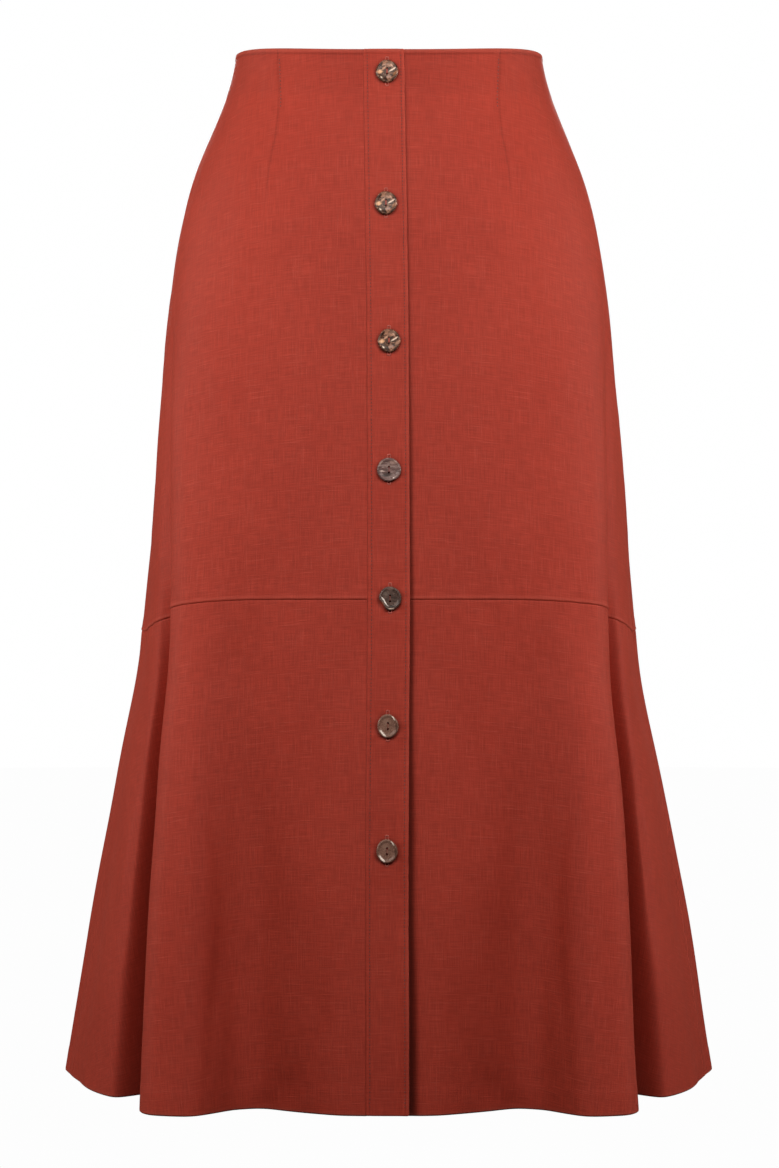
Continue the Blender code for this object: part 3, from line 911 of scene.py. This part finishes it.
def dart_stitches(name, half, side, finish):
    """The few stitches that show beside the top of a dart."""
    line = path_points(half, side, DART_PATHS[half])
    at = np.arange(*DART_STITCHES, STITCH_PITCH * 1.15)
    x, _, z = middles = np.array([np.interp(at, run_length(line), values) for values in line.T])
    places = zip(np.abs(x) - BESIDE_DART, -z)
    rounds = side * np.array([round_of(half, *place) for place in places])
    out = sewn_relief(rounds, -z)[0] + soft_relief(rounds, -z) - 0.00008
    ways = np.gradient(middles.T, axis=0)
    stitches(name, raised(rounds, -z, out), ways, normal(rounds, -z), finish)


def tube(path, radius, sides=8):
    """Points and faces of a round tube along a path, closed at both ends."""
    ways = np.gradient(path, axis=0)
    ways /= np.linalg.norm(ways, axis=1, keepdims=True)
    start = np.cross(ways[0], (0.31, 0.52, 0.79))
    angle = 2 * math.pi * np.arange(sides)[:, None] / sides
    rings = []
    for place, way, thick in zip(path, ways, np.broadcast_to(radius, len(path))):
        start = start - way * (start @ way)
        start /= np.linalg.norm(start)
        side = np.cross(way, start)
        rings.append(place + thick * (np.cos(angle) * start + np.sin(angle) * side))
    faces = []
    last = (len(path) - 1) * sides
    for low in range(0, last, sides):
        for number in range(sides):
            after, high = (number + 1) % sides, low + sides
            faces.append((low + number, low + after, high + after, high + number))
    faces += [tuple(range(sides))[::-1], tuple(range(last, last + sides))]
    return np.concatenate(rings), faces


# Buttons


def button_place(drop, x):
    """Where a button's back sits on the band, facing straight out of it, its Y axis upwards."""
    place = np.array(round_at_x(x, drop)), np.array(drop)
    outward = Vector(normal(*place))
    seat = Vector(face(*place)) + (GAP + WALL + GAP) * outward
    across = Vector((0, 0, 1)).cross(outward).normalized()
    turn = Matrix((across, outward.cross(across), outward)).transposed()
    return Matrix.Translation(seat) @ turn.to_4x4()


# Share of the radius and height of the button's outline, from the middle of its back round its
# rim to the middle of its face
BUTTON_OUTLINE = (
    (0, 0), (0.45, 0), (0.8, 0.0001), (0.92, 0.0004), (0.985, 0.001), (1, 0.0014), (0.99, 0.0018),
    (0.955, 0.0022), (0.91, 0.0025), (0.87, 0.0026), (0.82, 0.0025), (0.76, 0.0022),
    (0.71, 0.00195), (0.66, 0.00185), (0.58, 0.0018), (0.5, 0.00178), (0.42, 0.00178),
    (0.34, 0.00178), (0.26, 0.0018), (0.18, 0.0018), (0.1, 0.0018), (0, 0.0018),
)
BUTTON_SIDES = 96
BUTTON_WIDTH = {"pearl": 0.95, "striped": 1.0, "faceted": 0.94, "taupe": 0.88}
STRANDS = {"pearl": 4, "striped": 1, "faceted": 1, "taupe": 1}  # of thread, by finish
# Dents in the edge of each finish: share of the radius, where round the button, reach
BUTTON_DENTS = {
    "pearl": ((0.030, 2.55, 0.35), (0.022, -0.55, 0.30)),
    "striped": ((0.025, 0.75, 0.30), (0.020, -1.1, 0.25)),
    "faceted": (),
    "taupe": ((0.035, 0.85, 0.40), (0.015, -2.3, 0.5)),
}


def button_outline(finish, turn):
    """How far the button's edge is from its middle, as a share of the radius: never quite round."""
    edge = 0.985 + 0.008 * np.cos(3 * turn + 0.5) + 0.005 * np.cos(5 * turn + 2.1)
    for depth, middle, reach in BUTTON_DENTS[finish]:
        edge = edge - depth * bell(turn - middle, reach)
    if finish == "faceted":
        facing = np.cos(turn + 2.50)
        edge = np.minimum(edge, np.where(facing > 0.2, 0.80 / np.maximum(facing, 0.2), 2))
    return np.minimum(edge, 0.995)


def button_blank(finish):
    """A turned shell button with an uneven edge, before its holes are cut."""
    turn = 2 * math.pi * np.arange(BUTTON_SIDES) / BUTTON_SIDES
    turn = np.where(turn > math.pi, turn - 2 * math.pi, turn)
    edge = button_outline(finish, turn)
    shape = bmesh.new()
    rings = []
    for share, height in BUTTON_OUTLINE:
        reach = BUTTON_RADIUS * (share * (1 - share) + share * share * edge)
        x, y = BUTTON_WIDTH[finish] * reach * np.cos(turn), reach * np.sin(turn)
        count = BUTTON_SIDES if share else 1
        rings.append([shape.verts.new((a, b, height)) for a, b in zip(x[:count], y[:count])])
    for low, high in zip(rings[:-1], rings[1:]):
        for number in range(BUTTON_SIDES):
            after = (number + 1) % BUTTON_SIDES
            pair = [low[number % len(low)], low[after % len(low)]]
            pair += [high[after % len(high)], high[number % len(high)]]
            shape.faces.new(list(dict.fromkeys(pair)))
    bmesh.ops.recalc_face_normals(shape, faces=shape.faces)
    return from_bmesh("button_blank", shape)


def button_mesh(finish):
    """A button with its two thread holes cut through."""
    shape = bmesh.new()
    for offset in (-HOLE_OFFSET, HOLE_OFFSET):
        bmesh.ops.create_cone(
            shape,
            cap_ends=True,
            segments=24,
            radius1=HOLE_RADIUS,
            radius2=HOLE_RADIUS,
            depth=4 * BUTTON_THICKNESS,
            matrix=Matrix.Translation((0, offset, 0)),
        )
    body, holes = button_blank(finish), from_bmesh("thread_holes", shape)
    cut = body.modifiers.new("holes", "BOOLEAN")
    cut.operation = "DIFFERENCE"
    cut.object = holes
    bpy.context.view_layer.update()
    evaluated = body.evaluated_get(bpy.context.evaluated_depsgraph_get())
    made = bpy.data.meshes.new_from_object(evaluated)
    for thing in (body, holes):
        bpy.data.objects.remove(thing, do_unlink=True)
    made.shade_smooth()
    made.set_sharp_from_angle(angle=math.radians(42))
    return made


def build_buttons(finishes, thread):
    for number, (drop, x, finish) in enumerate(BUTTONS, start=1):
        place = button_place(drop, x)
        mesh = button_mesh(finish)
        mesh.name = f"button_{number}_shell"
        mesh.materials.clear()
        mesh.materials.append(finishes[finish])
        button = in_scene(mesh.name, mesh)
        button.matrix_world = place
        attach(button, "root")
        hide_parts(f"button_{number}")
        build_thread(number, np.array(place), STRANDS[finish], thread)
        build_buttonhole(number, drop, x, thread)


def build_thread(number, place, strands, thread):
    """Strands between a button's holes, over the face."""
    turns = np.linspace(-1, 1, 15)
    ends = 0.0016 * smoothstep(0.80, 1.0, np.abs(turns))
    parts = []
    for strand in range(strands):
        offset = 0.00026 * (strand - (strands - 1) / 2)
        rise = 0.00030 + 0.00006 * math.sin(2.1 * strand + number)
        height = BUTTON_FLOOR + rise * (1 - turns**4) - ends
        x = offset * (1 - 0.35 * np.abs(turns) ** 3) + 0.00008 * np.sin(5 * turns + strand)
        path = np.stack([x, HOLE_OFFSET * turns, height], axis=-1)
        parts.append(tube(path @ place[:3, :3].T + place[:3, 3], THREAD_RADIUS))
    joined(f"button_{number}_thread", parts, thread)


def build_buttonhole(number, drop, x, thread):
    """A worked buttonhole under the button: a ribbed loop whose ends show above and below it."""
    half = BUTTONHOLE_HALF
    run = np.linspace(-BUTTONHOLE_UP, BUTTONHOLE_DOWN, 160)
    turn = np.linspace(0, math.pi, 12)[1:-1]
    straight = np.full(len(run), half)
    beside = [-straight, -half * np.cos(turn), straight, half * np.cos(turn), [-half]]
    curve = half * np.sin(turn)
    down = [run, run[-1] + curve, run[::-1], run[0] - curve, run[:1]]
    line, _ = on_band(x + np.concatenate(beside), drop + np.concatenate(down))
    ribs = 0.00042 + 0.00010 * np.sin(2 * math.pi * run_length(line) / 0.00055)
    parts = [tube(line, ribs)]
    across = np.linspace(-0.0015, 0.0015, 7)
    for end in (run[0] - 0.6 * half, run[-1] + 0.6 * half):
        bar, _ = on_band(x + across, np.full(len(across), drop + end))
        parts.append(tube(bar, 0.00045))
    joined(f"buttonhole_{number}", parts, thread)


# Materials


class Nodes:
    """A material with its nodes, whose inputs are values or other nodes' outputs."""

    def __init__(self, name):
        self.made = bpy.data.materials.new(name)
        self.made.use_nodes = True
        self.tree = self.made.node_tree
        self.shader = self.tree.nodes["Principled BSDF"]

    def feed(self, node, inputs):
        for name, value in inputs.items():
            if isinstance(value, bpy.types.NodeSocket):
                self.tree.links.new(value, node.inputs[name])
            else:
                node.inputs[name].default_value = value

    def add(self, kind, inputs=(), **settings):
        """The outputs of a new node."""
        node = self.tree.nodes.new(f"ShaderNode{kind}")
        for name, value in settings.items():
            setattr(node, name, value)
        self.feed(node, dict(inputs))
        return node.outputs

    def place(self):
        return self.add("TexCoord")["Object"]

    def stored(self, name):
        """What each point of the cloth has stored under that name."""
        return self.add("Attribute", attribute_name=name)

    def vector(self, operation, first, second):
        return self.add("VectorMath", {0: first, 1: second}, operation=operation)[0]

    def scaled(self, vector, across, down):
        return self.vector("MULTIPLY", vector, (across, down, 1))

    def math(self, operation, *values):
        return self.add("Math", dict(enumerate(values)), operation=operation)[0]

    def times(self, first, second):
        return self.math("MULTIPLY", first, second)

    def weighed(self, value, weight, rest):
        """The value times its weight, and the rest."""
        return self.math("MULTIPLY_ADD", value, weight, rest)

    def noise(self, vector, scale, detail=2.0, roughness=0.5, distortion=0.0):
        inputs = {"Vector": vector, "Scale": scale, "Detail": detail}
        inputs |= {"Roughness": roughness, "Distortion": distortion}
        return self.add("TexNoise", inputs)["Fac"]

    def between(self, value, low, high, to_low=0.0, to_high=1.0):
        """The value's place between two numbers, carried to two others and kept inside them."""
        inputs = {"Value": value, "From Min": low, "From Max": high}
        inputs |= {"To Min": to_low, "To Max": to_high}
        return self.add("MapRange", inputs, interpolation_type="SMOOTHSTEP")["Result"]

    def mixed(self, share, first, second):
        first, second = (
            (*tone, 1) if isinstance(tone, tuple) else tone for tone in (first, second)
        )
        return self.add("Mix", {0: share, 6: first, 7: second}, data_type="RGBA")[2]

    def toned(self, colour, factor):
        """A colour made lighter or darker by a number."""
        return self.add("VectorMath", {0: colour, "Scale": factor}, operation="SCALE")[0]

    def shade(self, height, strength, distance, inputs):
        """The material, with bumps of that height and the shader's inputs."""
        bump = self.add("Bump", {"Height": height, "Strength": strength, "Distance": distance})
        self.feed(self.shader, {"Normal": bump[0], **inputs})
        return self.made


LINEN_RUST = (0.352, 0.0350, 0.0192)
LINEN_DEEP = (0.306, 0.0265, 0.0140)
LINEN_PALE = (0.405, 0.0500, 0.0300)
LINEN_WORN_HIGHLIGHT = (0.52, 0.115, 0.080)
THREAD_SPACING = 0.00056  # between neighbouring warp threads


def linen_material():
    """Plain-woven linen: threads, slubs both ways, slow changes of tone, edges lightened partly by
    wear and partly by painted highlight, and painted shade in grooves and folds.
    """
    new = Nodes("linen_weave")
    grain = new.stored("grain")["Vector"]
    wander = new.scaled(new.noise(grain, 90, 1), 0.0006, 0.0006)
    axes = new.add("SeparateXYZ", {0: new.vector("ADD", grain, wander)})
    turns = 2 * math.pi / (2 * THREAD_SPACING)
    warp = new.math("SINE", new.times(axes[0], turns))
    weft = new.math("SINE", new.times(axes[1], turns * 0.92))
    weave = new.times(warp, weft)
    weft_slub = new.between(new.noise(new.scaled(grain, 34, 900), 1, 2), 0.56, 0.74)
    warp_slub = new.between(new.noise(new.scaled(grain, 900, 26), 1, 2), 0.57, 0.75)
    slubs = new.math("MAXIMUM", weft_slub, warp_slub)
    weft_yarn = new.noise(new.scaled(grain, 70, 1500), 1, 1)
    warp_yarn = new.noise(new.scaled(grain, 1500, 60), 1, 1)
    yarns = new.math("ADD", weft_yarn, warp_yarn)
    cloudy = new.noise(grain, 9, 3)
    mottled = new.noise(grain, 120, 3, 0.6)

    tone = new.mixed(new.between(cloudy, 0.30, 0.70, 0.55, 1.0), LINEN_DEEP, LINEN_RUST)
    tone = new.mixed(new.between(mottled, 0.45, 0.80, 0, 0.25), tone, LINEN_PALE)
    tone = new.mixed(new.times(slubs, 0.55), tone, LINEN_PALE)
    tone = new.toned(tone, new.between(yarns, 0.7, 1.3, 0.86, 1.13))
    # Painted shade: darker where the stored painted shade is, in grooves, folds and gaps and round
    # the buttons
    tone = new.toned(tone, new.weighed(new.stored("painted_shade")["Fac"], -0.75, 1.0))
    # Lighter towards the worn, highlighted tone: partly wear and partly painted highlight
    tone = new.mixed(new.times(new.stored("wear_and_highlight")["Fac"], 0.45), tone, LINEN_WORN_HIGHLIGHT)

    height = 0.0
    for part, weight in ((weave, 0.05), (slubs, 0.11), (yarns, 0.14), (mottled, 0.10)):
        height = new.weighed(part, weight, height)
    inputs = {
        "Base Color": tone,
        "Roughness": new.weighed(slubs, -0.06, 0.66),
        "Specular IOR Level": 0.17,
        "Sheen Weight": 0.08,
        "Sheen Roughness": 0.50,
        "Sheen Tint": (1.0, 0.40, 0.28, 1),
    }
    return new.shade(height, 0.55, 0.001, inputs)


def thread_material(name, dark, light):
    """Sewing thread: plies that run round it, and a slight shine."""
    new = Nodes(name)
    plies = new.noise(new.place(), 2600, 2)
    tone = new.mixed(new.between(plies, 0.35, 0.65), dark, light)
    inputs = {"Base Color": tone, "Roughness": 0.55, "Sheen Weight": 0.2}
    return new.shade(plies, 0.5, 0.0002, inputs)


# Shell finishes: dark, middle and light tone, size of the veins, how they are stretched, and
# where the middle tone lies among them. Sizes are in the button's radius.
SHELL_FINISHES = {
    "pearl": (
        (0.03, 0.012, 0.008), (0.13, 0.055, 0.032), (0.52, 0.25, 0.16), 1.6, (1, 1.5), 0.5,
    ),
    "striped": (
        (0.085, 0.048, 0.044), (0.185, 0.102, 0.092), (0.33, 0.22, 0.2), 1.4, (0.6, 3.4), 0.5,
    ),
    "faceted": (
        (0.055, 0.032, 0.026), (0.112, 0.064, 0.052), (0.2, 0.125, 0.1), 3, (1, 1.2), 0.52,
    ),
    "taupe": (
        (0.15, 0.07, 0.05), (0.235, 0.115, 0.082), (0.33, 0.18, 0.13), 3.6, (1, 1.4), 0.52,
    ),
}
TONES_BELOW = 0.14  # the ramp from dark to light, below and above the middle tone
TONES_ABOVE = 0.18

# Marks on the shell, some its own patches and veins and some painted highlights, glints and
# shade on the rims: x and y of the middle, turn in degrees, half length, half width, tone
SHELL_MARKS_AND_PAINTED_LIGHT = {
    "pearl": (
        (-0.62, -0.06, 20, 0.36, 0.24, 0.95, 0.5, 0.28),
        (-0.28, 0.24, 40, 0.3, 0.14, 0.62, 0.31, 0.19),
        (0.25, 0.66, -10, 0.46, 0.18, 0.3, 0.17, 0.12),
        (-0.56, 0.58, 45, 0.44, 0.17, 0.03, 0.012, 0.008),
        (0.4, 0.48, -50, 0.22, 0.1, 0.72, 0.41, 0.3),
        (0.25, 0.26, 35, 0.36, 0.12, 0.03, 0.012, 0.008),
        (0.68, -0.2, 60, 0.34, 0.18, 0.32, 0.13, 0.06),
        # painted shade along the lower right rim
        (0.6, -0.6, 45, 0.46, 0.15, 0.03, 0.012, 0.008),
        (0.18, -0.5, 10, 0.32, 0.17, 0.44, 0.24, 0.19),
        (-0.15, -0.74, 0, 0.34, 0.13, 0.03, 0.012, 0.008),
        # painted highlights: a white streak and a glint
        (0.46, 0.12, 30, 0.5, 0.1, 1, 0.74, 0.58),
        (-0.48, -0.56, -45, 0.2, 0.09, 1, 0.78, 0.62),
    ),
    "striped": (
        (0.36, 0.6, -5, 0.55, 0.22, 0.38, 0.23, 0.19),
        (0.02, 0.34, 2, 0.6, 0.06, 0.28, 0.16, 0.13),
        (-0.4, 0.08, 0, 0.34, 0.06, 0.1, 0.04, 0.032),
        (-0.13, -0.42, 10, 0.6, 0.24, 0.06, 0.038, 0.034),
        (0.03, -0.6, 14, 0.4, 0.06, 0.26, 0.17, 0.15),
        (-0.58, -0.14, -4, 0.28, 0.07, 0.8, 0.58, 0.5),
        # painted highlight on the lower rim
        (0.36, -0.7, 30, 0.12, 0.08, 0.9, 0.74, 0.66),
        (-0.66, 0.52, 50, 0.4, 0.08, 0.34, 0.22, 0.18),
    ),
    "faceted": (
        (-0.4, 0.36, 0, 0.36, 0.24, 0.17, 0.115, 0.095),
        (-0.66, -0.48, -55, 0.52, 0.16, 0.28, 0.1, 0.06),
        (0.12, -0.68, 0, 0.3, 0.1, 0.022, 0.013, 0.011),
        # painted highlight on the lower rim
        (0.12, -0.86, 4, 0.38, 0.08, 0.85, 0.62, 0.5),
        (0.02, 0.76, 0, 0.44, 0.09, 0.26, 0.16, 0.13),
        # painted highlight: a white line along the bevel
        (-0.5, -0.22, -55, 0.66, 0.085, 1, 0.88, 0.8),
    ),
    "taupe": (
        (-0.18, 0.34, 0, 0.46, 0.38, 0.28, 0.15, 0.11),
        # painted shade along the right rim
        (0.78, -0.14, 90, 0.6, 0.12, 0.085, 0.04, 0.028),
        # painted highlights: a crescent on the lower left rim and a glint on the upper right rim
        (-0.5, -0.6, -47, 0.56, 0.14, 1, 0.82, 0.72),
        (0.5, 0.62, -52, 0.32, 0.09, 1, 0.82, 0.72),
    ),
}


def shell_material(name):
    """Polished shell: marbled tones and marks with fine specks, some marks painted highlights and
    painted shade, under a clear coat.
    """
    dark, middle, light, scale, stretch, balance = SHELL_FINISHES[name]
    new = Nodes(f"{name}_shell")
    place = new.scaled(new.place(), 1 / (BUTTON_RADIUS * BUTTON_WIDTH[name]), 1 / BUTTON_RADIUS)
    wander = new.scaled(new.noise(place, 2.6, 3, 0.6), 0.22, 0.18)
    bent = new.vector("ADD", place, new.vector("SUBTRACT", wander, (0.11, 0.09, 0)))
    veins = new.noise(new.scaled(bent, *stretch), scale, 3, 0.6, 1.4)
    tone = new.add("ValToRGB", {"Fac": veins})[0]
    ramp = tone.node.color_ramp.elements
    ramp[0].position, ramp[0].color = balance - TONES_BELOW, (*dark, 1)
    ramp[1].position, ramp[1].color = balance + TONES_ABOVE, (*light, 1)
    ramp.new(balance).color = (*middle, 1)
    for x, y, turn, length, width, *mark_or_light_tone in SHELL_MARKS_AND_PAINTED_LIGHT[name]:
        inputs = {"Vector": bent, "Location": (x, y, 0), "Scale": (length, width, 1)}
        inputs["Rotation"] = (0, 0, math.radians(turn))
        inside = new.add("Mapping", inputs, vector_type="TEXTURE")[0]
        reach = new.add("VectorMath", {0: inside}, operation="LENGTH")["Value"]
        share = new.times(new.between(reach, 0.55, 1.05, 1, 0), 0.92)
        tone = new.mixed(share, tone, tuple(mark_or_light_tone))
    specks = new.noise(place, 22, 2)
    inputs = {
        "Base Color": new.toned(tone, new.between(specks, 0.3, 0.7, 0.66, 1.10)),
        "Roughness": new.between(specks, 0.3, 0.7, 0.20, 0.36),
        "Coat Weight": 0.10,
        "Coat Roughness": 0.10,
        "Specular IOR Level": 0.20,
    }
    return new.shade(veins, 0.20, 0.0005, inputs)


# Studio


FLOOR_Z = -1.24
FLOOR_RADIUS = 11.5
WALL_RADIUS = 12
CAMERA_PLACE = (0.0004, -2.6, -0.4248)
CAMERA_LENS = 97.1
CAMERA_SENSOR = 36  # the long side

# name, place, size, power, colour, what it points at. Each of those with an x has its mirror image.
LIGHTS = (
    ("key", (0, -1.1, 0.35), (1.2, 0.5), 7.3, (1.0, 1.06, 1.00), (0, -0.1, -0.25)),
    ("front", (0.7, -1.1, 0.3), (0.5, 0.5), 6.5, (1.0, 0.94, 0.90), (0.05, -0.1, -0.2)),
    ("side", (1.3, -0.05, 0.1), (0.4, 0.5), 6.8, (1.0, 0.94, 0.84), (0, 0, -0.2)),
    ("low", (1.5, 0.05, -0.15), (0.4, 1.0), 4.9, (1.0, 0.86, 0.78), (0, 0, -0.3)),
    ("back", (0, 1.5, 0.4), (1.2, 0.6), 22.0, (1.0, 1.0, 1.0), (0, 0, -0.3)),
)
AMBIENT = 0.02


def glowing(name, strength):
    """An even white that needs no light on it, a touch cloudy as paper is."""
    new = Nodes(name)
    new.tree.nodes.remove(new.shader)
    tone = new.mixed(new.noise(new.place(), 0.8), (0.997, 0.997, 0.997), (1, 1, 1))
    glow = new.add("Emission", {"Color": tone, "Strength": strength})[0]
    new.feed(new.tree.nodes["Material Output"], {0: glow})
    return new.made


def build_stage():
    shape = bmesh.new()
    bmesh.ops.create_circle(shape, cap_ends=True, radius=FLOOR_RADIUS, segments=96)
    floor = from_bmesh("floor", shape)
    floor.location.z = FLOOR_Z
    shape = bmesh.new()
    bmesh.ops.create_uvsphere(shape, u_segments=64, v_segments=32, radius=WALL_RADIUS)
    dome = from_bmesh("wall", shape)
    for thing, strength in ((floor, 0.985), (dome, 1.0)):
        thing.data.materials.append(glowing(f"studio_{thing.name}", strength))
        thing.visible_diffuse = False
        thing.visible_glossy = False
        thing.visible_shadow = False


def build_lights():
    for name, (x, y, z), (width, height), power, colour, (to_x, to_y, to_z) in LIGHTS:
        for ending, side in (("_left", -1), ("_right", 1)) if x else (("", 1),):
            lamp = bpy.data.lights.new(name + ending, "AREA")
            lamp.shape = "RECTANGLE"
            lamp.size = width
            lamp.size_y = height
            lamp.energy = power
            lamp.color = colour
            thing = in_scene(name + ending, lamp)
            thing.location = place = Vector((side * x, y, z))
            thing.visible_camera = False
            away = Vector((side * to_x, to_y, to_z)) - place
            thing.rotation_euler = away.to_track_quat("-Z", "Y").to_euler()
    world = bpy.data.worlds.new("studio")
    world.use_nodes = True
    background = world.node_tree.nodes["Background"]
    background.inputs["Color"].default_value = (1, 1, 1, 1)
    background.inputs["Strength"].default_value = AMBIENT
    bpy.context.scene.world = world


def build_camera():
    camera = in_scene("camera", bpy.data.cameras.new("camera"))
    camera.data.lens = CAMERA_LENS
    camera.data.sensor_width = CAMERA_SENSOR
    camera.data.clip_end = 60
    camera.location = CAMERA_PLACE
    camera.rotation_euler = (math.pi / 2, 0, 0)
    scene = bpy.context.scene
    scene.camera = camera
    scene.view_settings.view_transform = "Standard"
    scene.view_settings.look = "None"


def main():
    linen = linen_material()
    thread = thread_material("sewing_thread", (0.28, 0.030, 0.018), (0.46, 0.080, 0.050))
    # Painted shade: the topstitches are coloured near black, much darker than the linen, so that
    # they show as the shade in their stitch holes
    painted_shade_topstitch = thread_material("topstitch_thread_painted_shade", (0.045, 0.006, 0.004), (0.090, 0.011, 0.008))
    build_panels(linen)
    build_band(linen)
    band_stitches("band_stitches_free_edge", 1 - TOPSTITCH_INSET / BAND_HALF, painted_shade_topstitch)
    band_stitches("band_stitches_seam", -1 + SEAM_STITCH_INSET / BAND_HALF, painted_shade_topstitch)
    for side, wearer_side in ((-1, "right"), (1, "left")):
        dart_stitches(f"dart_stitches_{wearer_side}", "front", side, painted_shade_topstitch)
    build_buttons({name: shell_material(name) for name in SHELL_FINISHES}, thread)
    build_stage()
    build_lights()
    build_camera()


main()
